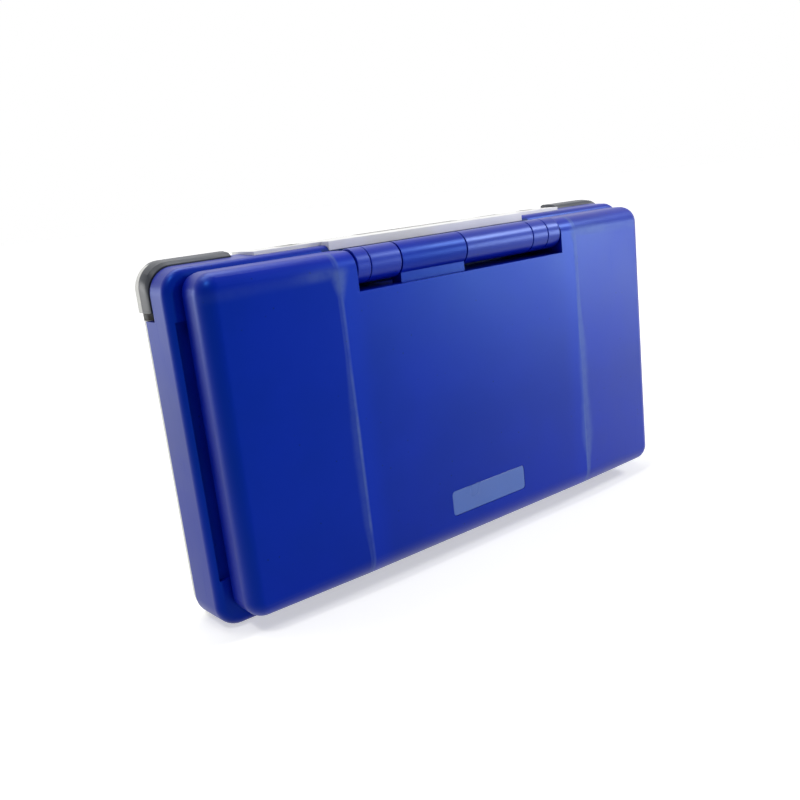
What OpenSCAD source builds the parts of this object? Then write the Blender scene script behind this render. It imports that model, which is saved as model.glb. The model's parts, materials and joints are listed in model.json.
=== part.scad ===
// Clamshell handheld game console, closed, standing on its long front edge.
// The modules below are drawn lying flat: X to the right, Y from the front edge to the hinge,
// Z from the feet to the lid, with y = 0 at the middle of the lid. stand() turns them upright.

/* [Housing] */
// Width of the housing over its side walls
body_w = 148.7; // [148:0.1:152]
// Depth of the housing from its front wall to its rear wall
body_d = 83.5; // [83:0.1:86]
// Radius of the housing's corners, seen from above
body_r = 6; // [5.5:0.5:8]
// Height of the flat shelf round the lid, over the feet
shelf_z = 16.5; // [16.4:0.1:17]
// Height where the coloured wall meets the pale bottom cover
split_z = 5; // [4.5:0.1:5.2]
// Wall thickness of the housing and of the bottom cover
wall = 1.6; // [1.4:0.1:1.8]
// Rounding of the shelf's outer edge
shelf_round = 2.2; // [1.5:0.1:2.4]
// How far the coloured wall leans in from its foot to the shelf
wall_lean = 0.4; // [0.2:0.05:0.5]
// Rounding of the bottom cover's outer edge
bottom_round = 3; // [2.5:0.1:3.5]
// How far the bottom cover is tucked in under the coloured wall
bottom_inset = 0.4; // [0.2:0.05:0.6]
// Height of the feet under the bottom cover
foot_h = 0.5; // [0.4:0.05:0.6]
// How far the housing stands out in front of the lid
front_step = 4.2; // [4:0.1:4.8]
// How far the housing stands out behind the lid
rear_step = 1.6; // [1.4:0.1:1.8]
// How far the housing stands out on each side of the lid
side_step = 4; // [3.7:0.05:4.3]

/* [Lid] */
// Radius of the lid's corners, seen from above
lid_r = 4.6; // [4.5:0.1:6]
// Height of the lid's lower rim, over the feet
lid_low = 17.5; // [17.4:0.05:18]
// Height of the closed console over its feet
total_t = 28.9; // [28.8:0.1:30]
// Wall thickness of the lid's cover
lid_wall = 1.5; // [1.2:0.1:1.8]
// Distance of each crease from the middle of the lid
crease_x = 38.4; // [36:0.1:40]
// How far the wings drop from the crease to the lid's side
wing_drop = 2.1; // [1:0.1:2.4]
// Rounding of the lid's sides and front corners
lid_front_round = 4.2; // [3.5:0.1:4.3]
// Rounding of the lid's front edge between the creases
lid_brow_round = 6; // [5:0.1:6.4]
// Rounding of the lid's edge at the hinge
lid_rear_round = 4.4; // [4:0.1:4.45]
// Width of the inlaid plate on the lid
badge_w = 25.6; // [20:0.2:30]
// Height of the inlaid plate on the lid
badge_h = 6.6; // [5:0.2:8]
// Distance of the inlaid plate's middle from the lid's front edge
badge_up = 11; // [10.5:0.1:14]
// Thickness of the inlaid plate
badge_t = 0.5; // [0.4:0.1:0.8]
// Thickness of the lid's inner cover
inner_t = 1.5; // [1.2:0.1:1.8]

/* [Hinge] */
// Outside radius of the hinge barrels
barrel_r = 4.1; // [4.05:0.05:4.2]
// Distance of the hinge axis from the lid's rear edge
hinge_in = 3.7; // [3.65:0.05:3.8]
// Half the width of the recess in the lid
recess_half = 33.45; // [33:0.05:34.5]
// Depth of the recess from the lid's rear edge
recess_d = 9.2; // [9:0.1:10]
// Left end of the lid's own barrel
knuckle_x0 = -20.3; // [-22:0.1:-19]
// Right end of the lid's own barrel
knuckle_x1 = -0.5; // [-2:0.1:1]
// Gap between neighbouring barrels and beside them
barrel_gap = 0.4; // [0.35:0.05:0.45]
// Length of the cap on the left end of the hinge
cap_left_l = 3.6; // [3:0.1:5]
// Length of the cap on the right end of the hinge
cap_right_l = 4.4; // [3:0.1:5]
// Length of the collar beside the right cap
collar_l = 5.5; // [4:0.1:7]
// Radius of the friction hinge's steel shaft
shaft_r = 1.6; // [1.4:0.05:1.8]
// Radius of the friction hinge's clutch inside the long barrel
clutch_r = 3; // [2.6:0.1:3.3]
// Running clearance round the hinge's shaft and bush
run_gap = 0.05; // [0.03:0.01:0.08]
// Outside radius of the hollow bush that carries the display ribbon
bush_r = 2.6; // [2.4:0.1:2.9]

/* [Screens] */
// Width of each display's visible area
view_w = 61; // [58:0.5:63]
// Height of each display's visible area
view_h = 46; // [44:0.5:47]
// Width of each display panel
lcd_w = 67; // [66:0.5:68]
// Height of each display panel
lcd_h = 51; // [50:0.5:51.5]
// Distance of the screens' middle from the middle of the lid, towards the front
screen_in = 4; // [3:0.5:5]
// Thickness of the display panels
lcd_t = 1.4; // [1.2:0.1:1.5]
// Thickness of the touch panel and of the upper window
glass_t = 0.9; // [0.8:0.1:1]

/* [Controls] */
// Length of the direction pad across its arms
pad_l = 20.5; // [19:0.5:21]
// Width of the direction pad's arms
pad_arm = 7; // [6:0.5:7.5]
// Radius of the four face buttons
button_r = 3.6; // [3.2:0.1:3.8]
// Radius of the start and select buttons
menu_r = 2.3; // [2:0.1:2.6]
// How far the controls stand up from the face plate
button_up = 0.6; // [0.4:0.05:0.6]
// Travel of the face buttons
button_travel = 0.6; // [0.5:0.05:0.7]
// Clearance round each control in the face plate
button_gap = 0.2; // [0.15:0.05:0.3]
// Thickness of the face plate
face_t = 1.5; // [1.4:0.1:1.6]
// Length of a shoulder button along the rear
shoulder_l = 20.6; // [20:0.2:22]
// Length of a shoulder button along the side
shoulder_side = 9.6; // [9:0.2:10.4]
// Height of a shoulder button's upper edge over the feet
shoulder_top = 9.2; // [9:0.1:9.2]
// How far a shoulder button stands out behind the housing
shoulder_out = 1.2; // [0.9:0.1:1.2]
// How far a shoulder button stands out beside the housing
shoulder_side_out = 0.55; // [0.4:0.05:0.7]

/* [Slots and connectors] */
// Width of the game card slot in the rear
card_w = 34; // [33.4:0.2:35]
// Height of the game card slot
card_h = 4.7; // [4.6:0.1:4.8]
// Depth of the game card slot
card_d = 30; // [29:0.5:30]
// Width of the cartridge slot in the front
cart_w = 58.8; // [58:0.2:60]
// Height of the cartridge slot
cart_h = 8.8; // [8.6:0.1:8.8]
// Depth of the cartridge slot
cart_d = 34; // [33:0.5:34]
// Depth of the dust cover that closes the cartridge slot
dust_d = 15; // [12:0.5:18]
// Radius of the headphone jack's bore
jack_r = 1.8; // [1.78:0.01:1.85]
// Length of the headphone jack's bore
jack_l = 14; // [13:0.5:15]
// Length of the stylus
stylus_l = 74; // [70:0.5:75]
// Radius of the stylus
stylus_r = 2.2; // [2:0.1:2.3]
// Thickness of the battery
battery_t = 5.8; // [5.4:0.1:6]

/* [Hidden] */
$fn = 48;

// Colours, as the photograph shows them
blue = "#1a36ae";
pale = "#e6e7ea";
silver = "#c3c6cc";
dark_grey = "#4a4e59";
black = "#16181c";
steel = "#a7abb0";
board_green = "#1f5c3a";
eps = 0.01;
rim_h = 1;
slice_h = 0.2;

// Housing
lid_w = body_w - 2 * side_step;
lid_d = body_d - front_step - rear_step;
body_front = -lid_d / 2 - front_step;
body_rear = body_front + body_d;
body_mid = (body_front + body_rear) / 2;
floor_top = foot_h + wall;
face_low = shelf_z - face_t;
ledge_z = face_low - 1;
seat_gap = 0.15;
front_raised = body_w / 2 - 16.35;
rear_raised = body_w / 2 - 24.35;
raised_front_z = floor_top + 0.8 + cart_h + 1;
raised_rear_z = shelf_z - 3.4;
rear_out = 0.5;
finger_depth = 1;
finger_front = 8.4;
finger_rear = 9.9;
finger_edge = 1.9;
hinge_raised = recess_half - 1.5;
hinge_raised_z = shelf_z - 0.3;
face_margin = 1.4;
ledge = 1.2;

// Lid
hinge_y = lid_d / 2 - hinge_in;
hinge_z = total_t - barrel_r;
recess_y = lid_d / 2 - recess_d;
wing_z = total_t - wing_drop;
tab_z = total_t - 1.5;
rear_chamfer = 0.9;
badge_y = -lid_d / 2 + badge_up;
badge_r = 1;
inner_gap = 0.1;
inner_top = lid_low + inner_t;
lid_screw_x = lid_w / 2 - 7.5;
lid_screw_front = -lid_d / 2 + 6.5;
lid_screw_rear = recess_y - 5;
bumper_r = 2.6;
bumper_drop = 0.65;
barrel_end = recess_half - barrel_gap;
neck_front = 3.2;

// Screens
screen_y = -screen_in;
window_gap = 0.1;
touch_top = face_low - 0.05;
lower_lcd_top = touch_top - glass_t - 0.1;
skirt = 1.2;
speaker_x = (lid_w / 2 + lcd_w / 2 + skirt) / 2;
speaker_r = 7.6;
speaker_t = 2;
magnet_t = 1.4;
sound_r = 0.75;
sound_pitch = 2.9;
sound_places = [
    for (i = [-2:2], j = [-2:2]) if (abs(i) + abs(j) < 4) [i * sound_pitch, j * sound_pitch]
];
lamp_r = 1.1;

// Controls
cap_top = shelf_z + button_up;
flange_top = face_low - 0.25;
flange_t = 1.4;
flange_out = 1;
flange_low = flange_top - flange_t;
board_z = raised_front_z - 3.1;
board_t = 1;
board_w = body_w - 18.7;
board_y0 = body_front + 9.2;
board_y1 = recess_y - 1.8;
mat_low = board_z + board_t + 0.1;
mat_t = 0.7;
dome_top = flange_low - button_travel - 0.1;
pad_disc_r = pad_l / 2 + 0.3;
pad_flange_top = face_low - 1;
pad_flange_t = 1.2;
pad_low = pad_flange_top - pad_flange_t;
pad_gap = 0.6;
pad_top = shelf_z + 0.35;
face_buttons_y = -1;
space_in = lcd_w / 2 + skirt;
space_out = lid_w / 2 - face_margin - ledge;
pad_x = (space_in + space_out) / 2;
button_out = 0.28 * (space_out - space_in);
menu_y = recess_y - 6.8;
menu_x0 = pad_x - 5;
menu_x1 = pad_x + 5;
mic_x = -(lcd_w / 2 + 6);
mic_y = -lid_d / 2 + 9;
mic_r = 0.7;

// Shoulder buttons
shoulder_low = foot_h + 2.3;
shoulder_gap = 0.4;
shoulder_in_x = body_w / 2 - shoulder_l;
shoulder_in_y = body_rear - shoulder_side;
shoulder_t = 3.2;
pivot_x = shoulder_in_x + 2.6;
pivot_y = body_rear - 3.7;
pivot_boss = 2.3;
pin_r = 0.9;
pin_gap = 0.06;
shoulder_swing = 1.5;
pin_seat = shoulder_low - 0.3;
pin_seat_r = 1.8;
pin_top = shoulder_top + shoulder_gap + 1;

// Slots and connectors
cage_t = 0.5;
card_z = floor_top + 1;
cart_z = floor_top + 0.8;
jack_x = front_raised - 4;
jack_z = 5.8;
jack_nose = 2.9;
jack_block = 4.4;
volume_x = -(front_raised - 10);
volume_z = 7.2;
volume_half = 3;
volume_travel = 4;
volume_h = 2.2;
stylus_x = jack_x - 10;
stylus_z = 5.6;
stylus_gap = 0.3;
tube_t = 0.7;
power_x = (card_w / 2 + stylus_x) / 2 - 1.5;
power_z = 5.6;
power_w = 8;
power_h = 3;
strap_x = -(rear_raised - 12);
strap_w = 6;
strap_r = 0.8;
pocket_wall = 1;
battery_gap = 0.3;
pocket_side = 1.2;
screw_in = 6.2;
boss_r = 2.4;
battery_y0 = body_front + cart_d + cage_t + 2 * seat_gap + pocket_wall + battery_gap;
battery_y1 = body_rear - 13.4;
battery_l = battery_y1 - battery_y0;
battery_x0 = body_w / 2 - screw_in - 2 * boss_r - pocket_wall - battery_gap;
battery_x1 = card_w / 2 + cage_t + pocket_side + pocket_wall + battery_gap;
battery_w = battery_x0 - battery_x1;
battery_x = -(battery_x0 + battery_x1) / 2;
battery_y = (battery_y0 + battery_y1) / 2;
pocket_w = battery_w + 2 * battery_gap;
pocket_l = battery_l + 2 * battery_gap;
battery_z = floor_top + 0.2;
pocket_top = battery_z + battery_t + battery_gap;
hatch_w = pocket_w + 2;
hatch_l = pocket_l + 2;
hatch_tongue = 9;
hatch_screw_y = hatch_l / 2 + 2;
hatch_head = 0.6;
screw_places = [
    for (side = [-1, 1]) [side * (body_w / 2 - screw_in - 1), body_front + screw_in + 0.4],
    for (side = [-1, 1]) [side * (body_w / 2 - screw_in), body_rear - 25.6],
    for (side = [-1, 1]) [side * (rear_raised - 0.25), body_rear - 5.4]
];
housing_screw_l = 9;
lid_screw_l = 5.2;
pilot_r = 0.9;
head_r = 1.9;
head_t = 1;
foot_r = 3.2;
foot_places = [
    for (side = [-1, 1], y = [body_front + 15, body_rear - 7.5]) [side * (body_w / 2 - 13), y]
];
post_r = 1.6;
post_front_y = board_y0 + 4.7;
post_side_x = board_w / 2 - 3;
post_places = [
    [-(cart_w / 2 + 4.6), post_front_y], [cart_w / 2 + 4.6, post_front_y],
    [post_side_x, board_y1 - 5], [post_side_x, board_y1 - 39]
];
radio_x0 = -(board_w / 2 - 7);
radio_x1 = -(cart_w / 2 + 8.6);
radio_l = 17;
radio_t = 4.2;

// Turns the lying console upright on its front wall, with the origin under its middle
module stand() {
    translate([0, total_t / 2, -body_front]) rotate([90, 0, 0]) children();
}

// Rectangle with round corners, centred
module round_rect(w, d, r) {
    square([w - 2 * r, d], center = true);
    square([w, d - 2 * r], center = true);
    for (x = [-1, 1], y = [-1, 1]) translate([x * (w / 2 - r), y * (d / 2 - r)]) circle(r);
}

// Outline of the housing, moved inwards by inset
module body_plan(inset) {
    translate([0, body_mid]) round_rect(body_w - 2 * inset, body_d - 2 * inset, body_r - inset);
}

// Outline of the lid, moved inwards by inset
module lid_plan(inset) {
    round_rect(lid_w - 2 * inset, lid_d - 2 * inset, lid_r - inset);
}

// Disc with its top at z = 0 and its upper rim rounded
module soft_disc(r, rim) {
    translate([0, 0, -rim]) rotate_extrude($fn = 40) {
        square([r - rim, rim]);
        translate([r - rim, 0]) intersection() {
            circle(rim, $fn = 40);
            square(rim);
        }
    }
}

// Bar along X between two places
module bar_x(x0, x1, r) {
    translate([x0, 0, 0]) rotate([0, 90, 0]) cylinder(r = r, h = x1 - x0);
}

// Bar along Y between two places
module bar_y(y0, y1, r) {
    translate([0, y0, 0]) rotate([-90, 0, 0]) cylinder(r = r, h = y1 - y0);
}

// Box from one corner to the opposite one
module box(low, high) {
    translate(low) cube(high - low);
}

// The four corners of the housing's outline
module body_corners(inset) {
    for (x = [-1, 1], y = [body_front + body_r, body_rear - body_r])
        translate([x * (body_w / 2 - body_r), y, 0]) children();
}

// ---- Lid ----

// Outer form of the lid: flat in the middle, with wings that slope to the sides
module lid_form(inset, low) {
    hull() {
        for (x = [-1, 1]) {
            translate([x * (lid_w / 2 - lid_r), -lid_d / 2 + lid_r, wing_z - inset])
                soft_disc(lid_r - inset, lid_front_round - inset);
            translate([x * (lid_w / 2 - lid_r), lid_d / 2 - lid_r, wing_z - inset])
                soft_disc(lid_r - inset, lid_rear_round - inset);
            for (y = [-1, 1])
                translate([x * (lid_w / 2 - lid_r), y * (lid_d / 2 - lid_r), low])
                    cylinder(r = lid_r - inset, h = rim_h, $fn = 40);
        }
        translate([0, -lid_d / 2 + lid_brow_round, total_t - lid_brow_round])
            bar_x(-crease_x, crease_x, lid_brow_round - inset, $fn = 64);
        translate([0, lid_d / 2 - lid_rear_round, total_t - lid_rear_round])
            bar_x(-crease_x, crease_x, lid_rear_round - inset, $fn = 40);
    }
}

// Space that the hinge takes out of the lid
module hinge_recess(grow) {
    box([-recess_half - grow, recess_y - grow, lid_low - 1],
        [recess_half + grow, lid_d / 2 + 1, total_t + 1]);
}

module lid_screw_places() {
    for (x = [-1, 1], y = [lid_screw_front, lid_screw_rear])
        translate([x * lid_screw_x, y, 0]) children();
}

// The lid's own barrel, with the tab that joins it to the lid
module knuckle() {
    translate([0, hinge_y, hinge_z]) bar_x(knuckle_x0, knuckle_x1, barrel_r);
    box([knuckle_x0, recess_y - eps, hinge_z - 1], [knuckle_x1, hinge_y, tab_z]);
}

module lid_cover() {
    color(blue) difference() {
        union() {
            difference() {
                lid_form(0, lid_low);
                difference() {
                    lid_form(lid_wall, lid_low - 1);
                    hinge_recess(lid_wall);
                }
                hinge_recess(0);
            }
            // Bosses that the inner cover's screws go into
            lid_screw_places() translate([0, 0, inner_top + 0.1])
                cylinder(r = boss_r, h = wing_z - 0.5 - inner_top);
            knuckle();
        }
        // Bevel that lets the rear edge swing over the shelf
        for (x = [-1, 1])
            translate([x * (lid_w / 2 + recess_half) / 2, lid_d / 2, lid_low])
                rotate([45, 0, 0])
                    cube([lid_w / 2 - recess_half + 2, rear_chamfer * sqrt(2), rear_chamfer * sqrt(2)],
                        center = true);
        lid_screw_places() translate([0, 0, inner_top]) cylinder(r = pilot_r, h = 5);
        // Seats for the friction hinge's shaft and for the ribbon bush
        translate([0, hinge_y, hinge_z]) {
            bar_x(knuckle_x0 + 5, knuckle_x1 + 1, shaft_r + run_gap);
            bar_x(knuckle_x0 - 1, knuckle_x0 + 4, bush_r + run_gap);
        }
        // Pocket for the inlaid plate
        translate([0, badge_y, total_t - badge_t]) linear_extrude(1)
            round_rect(badge_w, badge_h, badge_r);
    }
}

module lid_badge() {
    color("#5f86d8") translate([0, badge_y, total_t - badge_t]) linear_extrude(badge_t - 0.05)
        round_rect(badge_w - 0.1, badge_h - 0.1, badge_r - 0.05);
}

module lid_inner() {
    color(silver) difference() {
        translate([0, 0, lid_low]) linear_extrude(inner_t) difference() {
            lid_plan(lid_wall + inner_gap);
            translate([-recess_half - lid_wall - inner_gap, recess_y - lid_wall - inner_gap])
                square([2 * (recess_half + lid_wall + inner_gap), lid_d]);
        }
        translate([0, screen_y, lid_low - 1]) linear_extrude(inner_t + 2)
            square([view_w, view_h], center = true);
        translate([0, screen_y, lid_low - 1]) linear_extrude(1 + glass_t + 0.05)
            square([lcd_w + 2 * window_gap, lcd_h + 2 * window_gap], center = true);
        for (x = [-1, 1], p = sound_places)
            translate([x * speaker_x + p[0], screen_y + p[1], lid_low - 1])
                cylinder(r = sound_r, h = inner_t + 2, $fn = 24);
        lid_screw_places() {
            translate([0, 0, lid_low - 1]) cylinder(r = pilot_r + 0.15, h = inner_t + 2);
            translate([0, 0, lid_low - 1]) cylinder(r = bumper_r, h = 1.8);
        }
    }
}

module upper_lcd() {
    color(black) translate([0, screen_y, inner_top + 0.05]) linear_extrude(lcd_t)
        square([lcd_w, lcd_h], center = true);
}

module upper_window() {
    color("#20242c") translate([0, screen_y, lid_low]) linear_extrude(glass_t)
        square([lcd_w, lcd_h], center = true);
}

module speaker(side) {
    color(black) translate([side * speaker_x, screen_y, inner_top + 0.05]) {
        cylinder(r = speaker_r, h = speaker_t);
        translate([0, 0, speaker_t]) cylinder(r = speaker_r * 0.6, h = magnet_t);
    }
}

module speaker_left() {
    speaker(-1);
}

module speaker_right() {
    speaker(1);
}

// Screw with its head at z = 0 and its shank upwards, with a cross in the head
module screw(length, head = head_t) {
    difference() {
        union() {
            cylinder(r = head_r, h = head);
            translate([0, 0, head]) cylinder(r = pilot_r, h = length - head);
        }
        for (a = [0, 90]) rotate([0, 0, a]) cube([head_r * 1.3, 0.5, 0.7], center = true);
    }
}

module lid_screws() {
    color(steel) lid_screw_places() translate([0, 0, lid_low + 0.8 - head_t]) screw(lid_screw_l);
}

module lid_bumpers() {
    color(dark_grey) lid_screw_places() translate([0, 0, lid_low - bumper_drop]) difference() {
        cylinder(r = bumper_r - 0.05, h = bumper_drop + 0.75);
        translate([0, 0, bumper_drop - head_t + 0.8]) cylinder(r = head_r + 0.05, h = 2);
    }
}

// ---- Housing ----

// Both shoulder buttons' space, which also leaves room for their swing
module shoulder_space(low, high) {
    for (x = [-1, 1]) scale([x, 1, 1])
        box([shoulder_in_x - shoulder_gap, shoulder_in_y - shoulder_swing - shoulder_gap, low],
            [body_w, body_rear + body_r, high]);
}

module upper_housing() {
    boss_low = split_z + 0.2;
    color(blue) difference() {
        union() {
            difference() {
                hull() {
                    body_corners() translate([0, 0, shelf_z]) soft_disc(body_r - wall_lean, shelf_round);
                    body_corners() translate([0, 0, split_z])
                        cylinder(r = body_r, h = rim_h, $fn = 40);
                }
                translate([0, 0, split_z - 1]) linear_extrude(ledge_z - split_z + 1)
                    body_plan(wall);
            }
            for (p = screw_places) translate([p[0], p[1], boss_low])
                cylinder(r = boss_r, h = ledge_z - boss_low + 0.5);
            // Bosses that hold the upper ends of the shoulder buttons' pins
            for (x = [-1, 1]) translate([x * pivot_x, pivot_y, pin_top - 1])
                cylinder(r = pin_seat_r, h = ledge_z - pin_top + 1.5);
        }
        // Seat of the face plate, with a ledge under its rim
        translate([0, 0, face_low]) linear_extrude(face_t + 1) face_outline(0);
        translate([0, 0, ledge_z - 1]) linear_extrude(face_t + 2) face_outline(ledge);
        // Long finger recesses beside the lid
        for (x = [-1, 1]) scale([x, 1, 1])
            box([lid_w / 2 - 3, -lid_d / 2 + finger_front, shelf_z - finger_depth],
                [body_w / 2 - finger_edge, lid_d / 2 - finger_rear, shelf_z + 1]);
        // Room for the bottom cover's raised walls
        box([-front_raised - 0.1, body_front - 1, split_z - 1],
            [front_raised + 0.1, body_front + wall + 0.1, raised_front_z + 0.1]);
        box([-rear_raised - 0.1, body_rear - wall - 0.1, split_z - 1],
            [rear_raised + 0.1, body_rear + 1, raised_rear_z + 0.1]);
        box([-hinge_raised - 0.1, body_rear - wall - 0.1, raised_rear_z],
            [hinge_raised + 0.1, body_rear + 1, shelf_z + 1]);
        shoulder_space(split_z - 1, shoulder_top + shoulder_gap);
        for (p = screw_places) translate([p[0], p[1], 0]) cylinder(r = pilot_r, h = shelf_z - 4);
        for (x = [-1, 1]) translate([x * pivot_x, pivot_y, 0]) cylinder(r = pin_r, h = pin_top);
    }
}

// Outline of the face plate, with a gap all round
module face_outline(inset) {
    y0 = -lid_d / 2 + face_margin;
    y1 = recess_y - face_margin;
    translate([0, (y0 + y1) / 2])
        round_rect(lid_w - 2 * face_margin - 2 * inset, y1 - y0 - 2 * inset, lid_r - face_margin);
}

module button_places() {
    for (a = [0, 90, 180, 270])
        translate([pad_x + button_out * cos(a), face_buttons_y + button_out * sin(a), 0])
            children();
}

module menu_places() {
    for (x = [menu_x0, menu_x1]) translate([x, menu_y, 0]) children();
}

module cross(l, w) {
    square([l, w], center = true);
    square([w, l], center = true);
}

module face_plate() {
    color(silver) difference() {
        union() {
            translate([0, 0, face_low]) linear_extrude(face_t) face_outline(seat_gap);
            // Frame that holds the display and the touch panel
            translate([0, screen_y, lower_lcd_top - lcd_t])
                linear_extrude(face_low - lower_lcd_top + lcd_t + eps)
                    square([lcd_w + 2 * skirt, lcd_h + 2 * skirt], center = true);
        }
        translate([0, screen_y, 0]) {
            linear_extrude(face_low)
                square([lcd_w + 2 * window_gap, lcd_h + 2 * window_gap], center = true);
            linear_extrude(shelf_z + 1) square([view_w, view_h], center = true);
        }
        translate([-pad_x, face_buttons_y, 0]) linear_extrude(shelf_z + 1)
            cross(pad_l + 2 * pad_gap, pad_arm + 2 * pad_gap);
        button_places() cylinder(r = button_r + button_gap, h = shelf_z + 1);
        menu_places() cylinder(r = menu_r + button_gap, h = shelf_z + 1);
        translate([-pad_x, menu_y, 0]) cylinder(r = menu_r + button_gap, h = shelf_z + 1);
        translate([mic_x, mic_y, 0]) cylinder(r = mic_r, h = shelf_z + 1);
        lamp_places() cylinder(r = lamp_r + 0.05, h = shelf_z + 1);
    }
}

module lamp_places() {
    for (x = [0, 5]) translate([pad_x + x, -lid_d / 2 + 7, 0]) children();
}

module lamp_windows() {
    color("#9fd7a5") lamp_places() {
        translate([0, 0, face_low - 1]) cylinder(r = lamp_r, h = face_t + 1 - 0.1);
        translate([0, 0, face_low - 2]) cylinder(r = lamp_r + 0.7, h = 1.9);
    }
}

module microphone() {
    color(black) translate([mic_x, mic_y, face_low - 2.1]) cylinder(r = 2, h = 2);
}

// Outer form of the bottom cover, below the coloured wall
module tub_form(inset, low) {
    hull() {
        body_corners() translate([0, 0, low]) mirror([0, 0, 1])
            soft_disc(body_r - bottom_inset - inset, bottom_round - inset);
        body_corners() translate([0, 0, split_z - rim_h])
            cylinder(r = body_r - bottom_inset - inset, h = rim_h, $fn = 40);
    }
}

module bottom_cover() {
    standoff = split_z + 0.1;
    color(pale) difference() {
        union() {
            difference() {
                tub_form(0, foot_h);
                translate([0, 0, floor_top]) linear_extrude(split_z) body_plan(wall);
            }
            // Raised walls in the middle of the front and of the rear, highest behind the hinge
            box([-front_raised, body_front, split_z - 1],
                [front_raised, body_front + wall, raised_front_z]);
            box([-rear_raised, body_rear - wall, floor_top - eps],
                [rear_raised, body_rear + rear_out, raised_rear_z]);
            box([-hinge_raised, body_rear - wall, raised_rear_z - eps],
                [hinge_raised, body_rear + rear_out, hinge_raised_z]);
            for (p = screw_places) translate([p[0], p[1], floor_top - eps])
                cylinder(r = boss_r, h = standoff - floor_top);
            for (p = post_places) translate([p[0], p[1], floor_top - eps])
                cylinder(r = post_r, h = board_z - floor_top);
            // Tube that the stylus slides in
            translate([stylus_x, 0, stylus_z])
                bar_y(body_rear - stylus_l, body_rear - eps, stylus_r + stylus_gap + tube_t);
            // Pocket round the battery
            translate([battery_x, battery_y, foot_h]) linear_extrude(pocket_top + pocket_wall - foot_h)
                square([pocket_w + 2 * pocket_wall, pocket_l + 2 * pocket_wall], center = true);
            translate([battery_x, battery_y + hatch_screw_y, floor_top - eps])
                cylinder(r = boss_r, h = 4);
            // Pocket of the strap
            box([strap_x - strap_w / 2 - 1, body_rear - 5, floor_top - eps],
                [strap_x + strap_w / 2 + 1, body_rear, volume_z + strap_w / 2 + 1]);
            // Seats of the shoulder buttons' pins
            for (x = [-1, 1]) translate([x * pivot_x, pivot_y, floor_top - eps])
                cylinder(r = pin_seat_r, h = shelf_z - floor_top);
        }
        shoulder_space(pin_seat, shelf_z);
        translate([battery_x, battery_y, 0]) {
            linear_extrude(pocket_top) square([pocket_w, pocket_l], center = true);
            linear_extrude(floor_top - 0.4) hatch_outline(0);
            translate([0, hatch_screw_y, 0]) cylinder(r = pilot_r, h = 5.5);
        }
        // Game card slot, cartridge slot, stylus hole, power socket and strap pocket
        box([-card_w / 2, body_rear - 4, card_z], [card_w / 2, body_rear + 2, card_z + card_h]);
        box([-cart_w / 2, body_front - 1, cart_z], [cart_w / 2, body_front + 4, cart_z + cart_h]);
        translate([stylus_x, 0, stylus_z])
            bar_y(body_rear - stylus_l + tube_t, body_rear + 2, stylus_r + stylus_gap);
        box([power_x - power_w / 2, body_rear - 3, power_z - power_h / 2],
            [power_x + power_w / 2, body_rear + 2, power_z + power_h / 2]);
        box([strap_x - strap_w / 2, body_rear - 4, volume_z - strap_w / 2],
            [strap_x + strap_w / 2, body_rear + 2, volume_z + strap_w / 2]);
        // Headphone jack and volume slot
        translate([jack_x, 0, jack_z]) bar_y(body_front - 1, body_front + 4, jack_nose + 0.05);
        box([volume_x - volume_half - volume_travel - 0.3, body_front - 1, volume_z - volume_h / 2 - 0.3],
            [volume_x + volume_half + volume_travel + 0.3, body_front + 3, volume_z + volume_h / 2 + 0.3]);
        for (p = screw_places) translate([p[0], p[1], 0]) {
            cylinder(r = pilot_r + 0.2, h = standoff + 1);
            cylinder(r = head_r + 0.2, h = foot_h + head_t + 0.2);
        }
    }
}

// Outline of the battery cover with the tongue that takes its screw
module hatch_outline(inset) {
    square([hatch_w - 2 * inset, hatch_l - 2 * inset], center = true);
    translate([0, hatch_l / 2]) square([hatch_tongue - 2 * inset, 2 * (boss_r + 2 - inset)], center = true);
}

module battery_cover() {
    color(pale) translate([battery_x, battery_y, 0]) difference() {
        translate([0, 0, foot_h]) linear_extrude(wall - 0.45) hatch_outline(seat_gap);
        translate([0, hatch_screw_y, 0]) {
            cylinder(r = pilot_r + 0.1, h = 5);
            cylinder(r = head_r + 0.15, h = foot_h + hatch_head + 0.1);
        }
        // Grip lines
        for (i = [0:3]) translate([0, -hatch_l / 2 + 4 + i * 1.6, foot_h])
            cube([12, 0.7, 0.8], center = true);
    }
}

module battery_screw() {
    color(steel) translate([battery_x, battery_y + hatch_screw_y, foot_h + 0.1]) screw(4, hatch_head);
}

module battery() {
    color("#3c4046") translate([battery_x, battery_y, battery_z]) linear_extrude(battery_t)
        round_rect(battery_w, battery_l, 1);
}

module main_board() {
    color(board_green) translate([0, 0, board_z]) linear_extrude(board_t) difference() {
        translate([-board_w / 2, board_y0]) square([board_w, board_y1 - board_y0]);
        translate([-cart_w / 2 - cage_t - 0.3, board_y0 - 1])
            square([cart_w + 2 * cage_t + 0.6, body_front + cart_d + cage_t + 0.3 - board_y0 + 1]);
        for (p = screw_places) translate(p) circle(boss_r + 0.3);
    }
}

module wireless_module() {
    color(steel) box([radio_x0, board_y0 + 1, board_z - radio_t],
        [radio_x1, board_y0 + 1 + radio_l, board_z]);
}

module lower_lcd() {
    color(black) translate([0, screen_y, lower_lcd_top - lcd_t]) linear_extrude(lcd_t)
        square([lcd_w, lcd_h], center = true);
}

module touch_panel() {
    color("#20242c") translate([0, screen_y, touch_top - glass_t]) linear_extrude(glass_t)
        square([lcd_w, lcd_h], center = true);
}

module card_cage() {
    y0 = body_rear - wall - card_d;
    color(steel) difference() {
        box([-card_w / 2 - cage_t, y0 - cage_t, card_z - cage_t],
            [card_w / 2 + cage_t, body_rear - wall, card_z + card_h + cage_t]);
        box([-card_w / 2, y0, card_z], [card_w / 2, body_rear, card_z + card_h]);
    }
}

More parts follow.
